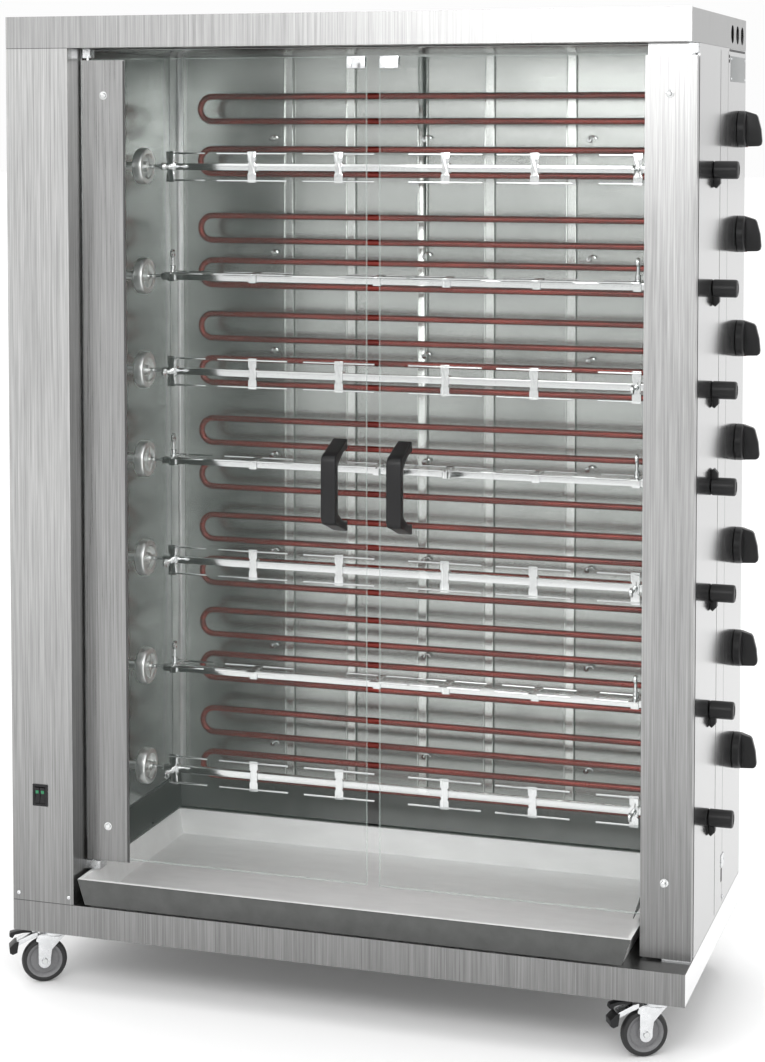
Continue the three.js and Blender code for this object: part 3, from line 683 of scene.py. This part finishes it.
def make_catch(side, body, low, high, mat):
    """A folded steel keeper over the free top corner of a pane."""
    toward = -1 if side == "left" else 1
    corner = high.x if side == "left" else low.x
    x0, x1 = sorted((corner + toward * 2 * MM, corner + toward * 34 * MM))
    skin = 1.2 * MM
    bm = bmesh.new()
    add_box(bm, (x0, low.y - skin, high.z - 19 * MM), (x1, low.y, high.z + skin))
    add_box(bm, (x0, high.y, high.z - 19 * MM), (x1, high.y + skin, high.z + skin))
    add_box(bm, (x0, low.y, high.z), (x1, high.y, high.z + skin))
    for inset in (0, 24 * MM):
        start = x0 + inset
        rib_low = (start, low.y - 2.6 * MM, high.z - 19 * MM)
        add_box(bm, rib_low, (start + 8 * MM, low.y - skin, high.z - 3 * MM))
    finish_piece(side + "_door_catch", bm, mat["zinc"], body, 0.4 * MM)


def make_handle(side, body, mat):
    """A moulded D handle: flat grip with rounded shoulders and legs that splay towards the glass."""
    low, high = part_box(body + "_handle")
    y_glass = high.y
    reach = (high.y - low.y) / MM
    middle = (low.z + high.z) / 2
    half = (high.z - low.z) / 2 / MM
    grip = 17
    outer = [(0, half), (-reach + 22, half - 16)]
    outer += [(-reach + 8, half - 20), (-reach + 2, half - 25), (-reach, half - 32)]
    inner = [(-reach + grip, half - 42), (-reach + grip + 4, half - 36)]
    inner += [(-22, half - 22), (-6, half - 19), (0, half - 19)]
    outline = outer + [(u, -v) for u, v in reversed(outer)]
    outline += [(u, -v) for u, v in reversed(inner)] + inner
    bm = bmesh.new()
    add_prism(bm, outline, lambda u, v, w: Vector((w, y_glass + u * MM, middle + v * MM)), low.x, high.x)
    finish_piece(
        side + "_handle_grip", bm, mat["black"], body, 3.2 * MM, [body + "_handle"], 3
    )
    for number, z in enumerate((half - 9, -half + 9), 1):
        bm = bmesh.new()
        centre = ((low.x + high.x) / 2, 0, middle + z * MM)
        glass_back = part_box(body + "_glass")[1].y
        add_rod(bm, "y", centre, 7 * MM, glass_back, glass_back + 3 * MM, 1 * MM, 20)
        finish_piece("%s_handle_nut_%d" % (side, number), bm, mat["zinc"], body)


# ---------------------------------------------------------------- switch and knobs
def make_switch(mat):
    """The switch's frame, and its two rocker caps with a lens each."""
    soften("switch_bezel", mat["black"], 0.0006)
    for name in ("motor_rocker", "lamp_rocker"):
        low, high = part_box(name)
        x0, x1 = low.x, high.x
        middle = (low.z + high.z) / 2
        half = (high.z - low.z) / 2 - 0.5 * MM
        front = low.y
        outline = [(front + 1.1 * MM, -half), (front + 2.0 * MM, -half * 0.5), (front + 2.8 * MM, 0)]
        back = high.y - 1.5 * MM
        outline += [(front + 1.6 * MM, half * 0.5), (front, half), (back, half * 0.8), (back, -half * 0.8)]
        bm = bmesh.new()
        add_prism(bm, outline, lambda u, v, w: Vector((w, u, middle + v)), x0, x1)
        finish_piece(name + "_cap", bm, mat["black"], name, 0.5 * MM, [name])
        bm = bmesh.new()
        lens_low = (x0 + 1.6 * MM, front + 0.9 * MM, middle + half * 0.22)
        lens_high = (x1 - 1.6 * MM, front + 2.6 * MM, middle + half * 0.62)
        add_box(bm, lens_low, lens_high)
        finish_piece(name + "_lens", bm, mat["lens"], name, 0.4 * MM)


def make_control_knob(number, mat):
    """A heat regulator knob: dished skirt, tapered drum and a wedge-shaped grip with a pointer mark."""
    node = "control_knob_%d" % number
    joint = JOINTS[node + "_turn"]
    origin = Vector((RIGHT, joint["pos_m"][1], joint["pos_m"][2]))
    low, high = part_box(node)
    out = (high.x - RIGHT) / MM
    radius = (high.z - low.z) / 2 / MM
    bm = bmesh.new()
    profile = [(0, 0.4), (radius - 1, 0.4), (radius, 1.5), (radius - 0.5, 12), (radius - 2.5, 14.5)]
    profile += [(radius - 12.5, 15.5), (0, 15.8)]
    add_lathe(bm, "x", origin, scaled(profile), 48)
    finish_piece(node + "_skirt", bm, mat["black"], node, 0, [node])
    length = radius - 1.5
    side = [(8, -length), (out - 5, -length + 1), (out - 1, -length + 4), (out, -length + 10), (out - 2, 0)]
    side += [(out - 8, 22), (out - 11, length - 5), (14, length), (8, length)]
    bm = bmesh.new()

    def shape(u, v, w):
        taper = 1 - 0.35 * max(0.0, u - 8) / (out - 8)
        return origin + Vector((u * MM, w * taper, v * MM))

    add_prism(bm, side, shape, -8.5 * MM, 8.5 * MM)
    finish_piece(node + "_grip", bm, mat["black"], node, 1.8 * MM, (), 3)
    bm = bmesh.new()
    add_box(
        bm, origin + Vector((9.2 * MM, -1.2 * MM, -radius * MM + 0.8 * MM)),
        origin + Vector((16 * MM, 1.2 * MM, -radius * MM + 4.4 * MM)),
    )
    finish_piece(node + "_mark", bm, mat["red"], node, 0.3 * MM)


def make_release_knob(number, mat):
    """A spring plunger's knob with its pointed tab, and the steel plunger that holds the spit's tip."""
    node = "release_knob_%d" % number
    low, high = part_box(node)
    axis = JOINTS["spit_%d_spin" % number]["pos_m"]
    origin = Vector((RIGHT, axis[1], axis[2]))
    out = (high.x - RIGHT) / MM
    bm = bmesh.new()
    profile = [(0, 0.4), (13.6, 0.4), (15, 1.6), (15, out - 3.4), (14.4, out - 1.4), (12.8, out - 0.2)]
    profile += [(9, out), (8.4, out - 0.9), (0, out - 1.1)]
    add_lathe(bm, "x", origin, scaled(profile), 36)
    finish_piece(node + "_barrel", bm, mat["black"], node, 0, [node])
    up = high.z - origin.z > origin.z - low.z
    sign = 1 if up else -1
    outline = [(0.4, 8), (11, 8), (11, 23), (4, 30.5), (0.4, 28)]
    bm = bmesh.new()
    add_prism(bm, outline, lambda u, v, w: origin + Vector((u * MM, w, sign * v * MM)), -6 * MM, 6 * MM)
    finish_piece(node + "_tab", bm, mat["black"], node, 0.5 * MM, (), 2)
    bm = bmesh.new()
    tip = low.x
    profile = [(6.2, 9), (6.2, 0), (8, 0), (9, 1.2), (9, 70), (0, 70), (0, 9)]
    add_lathe(bm, "x", (tip, origin.y, origin.z), scaled(profile), 24)
    finish_piece(node + "_plunger", bm, mat["chrome"], node)
    bm = bmesh.new()
    collar = [(12, 0), (15.5, 0), (15.5, 2.2), (14, 3.4), (12, 3.4), (12, 0)]
    place = (CAVITY_RIGHT - LINER, origin.y, origin.z)
    add_lathe(bm, "x", place, scaled(collar, -1), 28)
    finish_piece("spit_bush_%d" % number, bm, mat["zinc"], "root")


# ---------------------------------------------------------------- spits
ROD_HALF = 6
PRONG_OFFSET = 24
PRONG_REACH = 66
LEFT_FORK = -378
RIGHT_FORK = 469
MIDDLE_FORKS = {1: (-223, -61, 133, 291), 0: (-223, 9, 135, 295)}


def make_fork(name, body, x, centre, left, right, turn, mat):
    """A stamped fork: a bridge plate with a clamp block on the rod and two wire prongs along it."""
    bm = bmesh.new()
    half = PRONG_OFFSET + 3.5
    y, z = centre
    plate = [(-8, -half), (8, -half), (8, -12), (5.5, -9), (5.5, 9), (8, 12), (8, half)]
    plate += [(-8, half), (-8, 12), (-5.5, 9), (-5.5, -9), (-8, -12)]
    add_prism(bm, plate, lambda u, v, w: Vector((x + u * MM, y + w, z + v * MM)), -8.6 * MM, -6.4 * MM)
    add_box(bm, (x - 7 * MM, y - 8.4 * MM, z - 8.4 * MM), (x + 7 * MM, y + 8.4 * MM, z + 8.4 * MM))
    turned(bm, turn, (x, y, z))
    finish_piece(name + "_bridge", bm, mat["chrome"], body, 0.7 * MM)
    bm = bmesh.new()
    for side in (-1, 1):
        height = z + side * PRONG_OFFSET * MM
        points = []
        for reach in (-left, left * -0.96, 0, right * 0.96, right):
            points.append((x + reach * MM, y - 7.4 * MM, height))
        add_tube(bm, points, 1.7 * MM, 10)
    turned(bm, turn, (x, y, z))
    finish_piece(name + "_prongs", bm, mat["chrome"], body)


def make_thumb_screw(name, body, x, centre, turn, mat):
    """Standing out towards the front at rest on an upright fork, and up on a turned one."""
    bm = bmesh.new()
    y, z = centre
    add_rod(bm, "y", (x, y, z), 3 * MM, -40 * MM, -8 * MM, 0.6 * MM, 16)
    add_rod(bm, "y", (x, y, z), 5 * MM, -20 * MM, -8 * MM, 0.8 * MM, 16)
    head = [(u, v) for u, v in arc((-41, 0), 8, 0, 360, 15)][:-1]
    add_prism(bm, head, lambda u, v, w: Vector((x + w, y + u * MM, z + v * MM)), -2 * MM, 2 * MM)
    turned(bm, turn, (x, y, z))
    finish_piece(name, bm, mat["chrome"], body, 0.5 * MM)


def make_spit(number, mat):
    body = "spit_%d" % number
    joint = JOINTS[body + "_spin"]
    y, z = joint["pos_m"][1:]
    upright = number % 2
    turn = 0 if upright else -math.pi / 2
    cup = CAVITY_LEFT + 35 * MM
    bm = bmesh.new()
    profile = [(0, -35), (9, -35), (9, -34), (8, -33), (8, -4), (11, -3), (11, 0), (26, 0), (30, 1.2)]
    profile += [(32.5, 4), (32.5, 17), (31, 19.4), (29, 20), (23, 20), (21.5, 18.6), (21, 12)]
    profile += [(10, 12), (9.4, 13), (9, 20), (0, 20)]
    add_lathe(bm, "x", (cup, y, z), scaled(profile), 44)
    for side in (-1, 1):
        low_y, high_y = sorted((y + side * 8 * MM, y + side * 22 * MM))
        add_box(bm, (cup + 11 * MM, low_y, z - 3 * MM), (cup + 19 * MM, high_y, z + 3 * MM))
    turned(bm, turn, (cup, y, z))
    finish_piece(body + "_drive_cup", bm, mat["cup"], body, 0, [body])
    end = CAVITY_RIGHT - 15 * MM
    bm = bmesh.new()
    half = ROD_HALF * MM
    add_box(bm, (cup + 46 * MM, y - half, z - half), (end, y + half, z + half))
    finish_piece(body + "_rod", bm, mat["chrome"], body, 0.8 * MM)
    bm = bmesh.new()
    add_rod(bm, "x", (0, y, z), 3.6 * MM, cup + 19 * MM, cup + 47 * MM, 0.5 * MM, 20)
    add_rod(bm, "x", (0, y, z), 4.8 * MM, end - 1 * MM, end + 7 * MM, 1 * MM, 20)
    finish_piece(body + "_shank", bm, mat["chrome"], body)
    places = [(LEFT_FORK, 8, PRONG_REACH)]
    places += [(offset, PRONG_REACH, PRONG_REACH) for offset in MIDDLE_FORKS[upright]]
    places.append((RIGHT_FORK, PRONG_REACH, 8))
    for index, (offset, left, right) in enumerate(places, 1):
        name = "%s_fork_%d" % (body, index)
        make_fork(name, body, CENTRE_X + offset * MM, (y, z), left, right, turn, mat)
    for label, offset in (("left", LEFT_FORK), ("right", RIGHT_FORK)):
        name = "%s_%s_thumb_screw" % (body, label)
        make_thumb_screw(name, body, CENTRE_X + offset * MM, (y, z), turn, mat)
    bm = bmesh.new()
    flange = [(9.5, 0), (17, 0), (17, 2), (14, 4), (9.5, 4), (9.5, 0)]
    add_lathe(bm, "x", (CAVITY_LEFT + LINER, y, z), scaled(flange), 28)
    finish_piece("drive_bearing_%d" % number, bm, mat["zinc"], "root")


# ---------------------------------------------------------------- heating
ELEMENT_RADIUS = 6.0
LEG_HALF = 23


def make_heating(number, mat):
    """Two hairpin elements, one above the other, and the block that their ends are fixed in."""
    node = "heating_zone_%d" % number
    low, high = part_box(node)
    y = (low.y + high.y) / 2
    loop_z = ((low.z + 28.5 * MM), (high.z - 28.5 * MM))
    bend_x = low.x + 28.5 * MM
    end = high.x - 14 * MM
    for index, z in enumerate(loop_z, 1):
        bend = [(bend_x + u, y, z + v) for u, v in arc((0, 0), LEG_HALF * MM, 90, 270, 20)]
        legs = 12
        upper = [(end + (bend_x - end) * i / legs, y, z + LEG_HALF * MM) for i in range(legs)]
        lower = [(p[0], y, z - LEG_HALF * MM) for p in reversed(upper)]
        bm = bmesh.new()
        add_tube(bm, upper + bend + lower, ELEMENT_RADIUS * MM, 14)
        replaces = [node] if index == 1 else []
        name = "%s_loop_%d" % (node, index)
        finish_piece(name, bm, mat["element"], "root", 0, replaces)
    bm = bmesh.new()
    add_box(bm, (end, y - 6 * MM, low.z + 1 * MM), (high.x, y + 6 * MM, high.z - 1 * MM))
    finish_piece(node + "_terminal", bm, mat["zinc"], "root", 1.2 * MM)


# ---------------------------------------------------------------- casters
def caster_stance(place):
    """The foot of a caster's swivel axis on the floor, and the angle its wheel is turned by at rest."""
    x, y = JOINTS[place + "_swivel"]["pos_m"][:2]
    roll = JOINTS[place + "_roll"]["axis"]
    return Vector((x, y, 0)), math.atan2(-roll[0], roll[1])


def make_caster(place, mat):
    """A wheel with its tyre and hub, and the pressed fork with its bearing head and axle."""
    fork, wheel = place + "_fork", place + "_wheel"
    low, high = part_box(wheel)
    swivel, turn = caster_stance(place)
    radius = (high.z - low.z) / 2 / MM
    half = ((high.y - low.y) / 2 / MM - radius * abs(math.sin(turn))) / math.cos(turn)
    trail = -((low + high) / 2 - swivel).xy.length / MM
    centre = Vector((swivel.x + trail * MM, swivel.y, radius * MM))

    def where(u, v, w):
        return Vector((swivel[0] + u * MM, swivel[1] + w, v * MM))

    bm = bmesh.new()
    profile = [(31, -half + 1), (34, -half), (37.5, -half + 1), (39.2, -half + 3.5), (radius, -half + 7)]
    profile += [(r, -h) for r, h in reversed(profile)] + [(31, -half + 1)]
    add_lathe(bm, "y", centre, scaled(profile), 56)
    turned(bm, turn, swivel, "Z")
    finish_piece(wheel + "_tyre", bm, mat["tyre"], wheel, 0, [wheel])
    bm = bmesh.new()
    web = half - 6
    profile = [(5.6, -half), (11, -half), (12.5, -half + 2), (13, -web)]
    profile += [(24, -web), (27, -half + 2), (31.2, -half + 0.6)]
    profile += [(r, -h) for r, h in reversed(profile)] + [(5.6, -half)]
    add_lathe(bm, "y", centre, scaled(profile), 48)
    turned(bm, turn, swivel, "Z")
    finish_piece(wheel + "_hub", bm, mat["hub"], wheel)
    body = place + "_caster"
    top = BASE_LOW.z / MM
    bm = bmesh.new()
    profile = [(0, 86), (22, 86), (24, 88), (24.5, 92), (21, 95), (21, 96.5), (26, 98), (26, 101)]
    profile += [(24, top - 0.4), (0, top - 0.4)]
    add_lathe(bm, "z", (swivel[0], swivel[1], 0), scaled(profile), 36)
    finish_piece(fork + "_head", bm, mat["zinc"], body, 0, [fork])
    outline = [(20, 88), (14, 84), (4, 74), (trail + 13, 60), (trail + 11, 46)]
    outline += arc((trail, 38), 11, 8, -188, 12)
    outline += [(trail - 11, 60), (trail - 11, 74)] + arc((trail - 3, 76), 12, 180, 90, 5)
    for label, side in (("front", -1), ("rear", 1)):
        inner = side * (half + 2) * MM
        outer = side * (half + 4.4) * MM
        bm = bmesh.new()
        add_prism(bm, outline, where, inner, outer)
        turned(bm, turn, swivel, "Z")
        finish_piece("%s_%s_cheek" % (fork, label), bm, mat["zinc"], body, 0.7 * MM)
    bm = bmesh.new()
    crown = [(trail - 14, 82), (trail - 12, 86), (trail - 6, 88.4), (20, 88.4), (20, 85.6)]
    crown.append((trail - 6, 85.6))
    add_prism(bm, crown, where, -(half + 4.4) * MM, (half + 4.4) * MM)
    turned(bm, turn, swivel, "Z")
    finish_piece(fork + "_crown", bm, mat["zinc"], body, 1 * MM)
    bm = bmesh.new()
    reach = half + 7.5
    profile = [(0, -reach), (4.6, -reach), (5.6, -reach + 1.5), (5.6, -half - 4.6), (4.8, -half - 4.5)]
    profile += [(4.8, half + 4.5), (5.6, half + 4.6), (5.6, reach - 1.5), (4.6, reach), (0, reach)]
    add_lathe(bm, "y", centre, scaled(profile), 24)
    turned(bm, turn, swivel, "Z")
    finish_piece(fork + "_axle", bm, mat["chrome"], body)


def make_pedal(place, mat):
    """The brake's folded tread, its stamped arm and the small release tab above it."""
    node = place + "_pedal"
    swivel, turn = caster_stance(place)

    def where(u, v, w):
        return swivel + Vector((u * MM, w, v * MM))

    bm = bmesh.new()
    arm = [(-34, 92), (-44, 90), (-68, 80), (-74, 74), (-68, 70), (-48, 79), (-34, 84)]
    add_prism(bm, arm, where, -11 * MM, 11 * MM)
    turned(bm, turn, swivel, "Z")
    finish_piece(node + "_arm", bm, mat["zinc"], node, 1 * MM, [node])
    bm = bmesh.new()
    tread = [(-67, 78), (-74, 77), (-83.5, 68), (-83, 58), (-78, 55), (-70, 58)]
    add_prism(bm, tread, where, -13.5 * MM, 13.5 * MM)
    turned(bm, turn, swivel, "Z")
    finish_piece(node + "_tread", bm, mat["black"], node, 1.4 * MM, (), 3)
    bm = bmesh.new()
    tab = [(-44, 96), (-68, 96), (-82, 93), (-83.5, 86), (-78, 83), (-74, 89), (-60, 91), (-44, 91)]
    add_prism(bm, tab, where, -7 * MM, 7 * MM)
    turned(bm, turn, swivel, "Z")
    finish_piece(node + "_release_tab", bm, mat["black"], node, 1 * MM)


# ---------------------------------------------------------------- build
make_camera()
make_light()
make_stage()
materials = make_materials()
make_cabinet(materials)
make_liners(materials)
make_supports(materials)
make_side_panel(materials)
make_tray(materials)
make_doors(materials)
make_switch(materials)
for knob_number in range(1, KNOB_COUNT + 1):
    make_control_knob(knob_number, materials)
for spit_number in range(1, SPIT_COUNT + 1):
    make_release_knob(spit_number, materials)
    make_spit(spit_number, materials)
    make_heating(spit_number, materials)
for caster_place in ("front_left", "front_right", "rear_left", "rear_right"):
    make_caster(caster_place, materials)
for pedal_place in ("front_left", "front_right"):
    make_pedal(pedal_place, materials)
bpy.context.scene.view_settings.view_transform = "Standard"
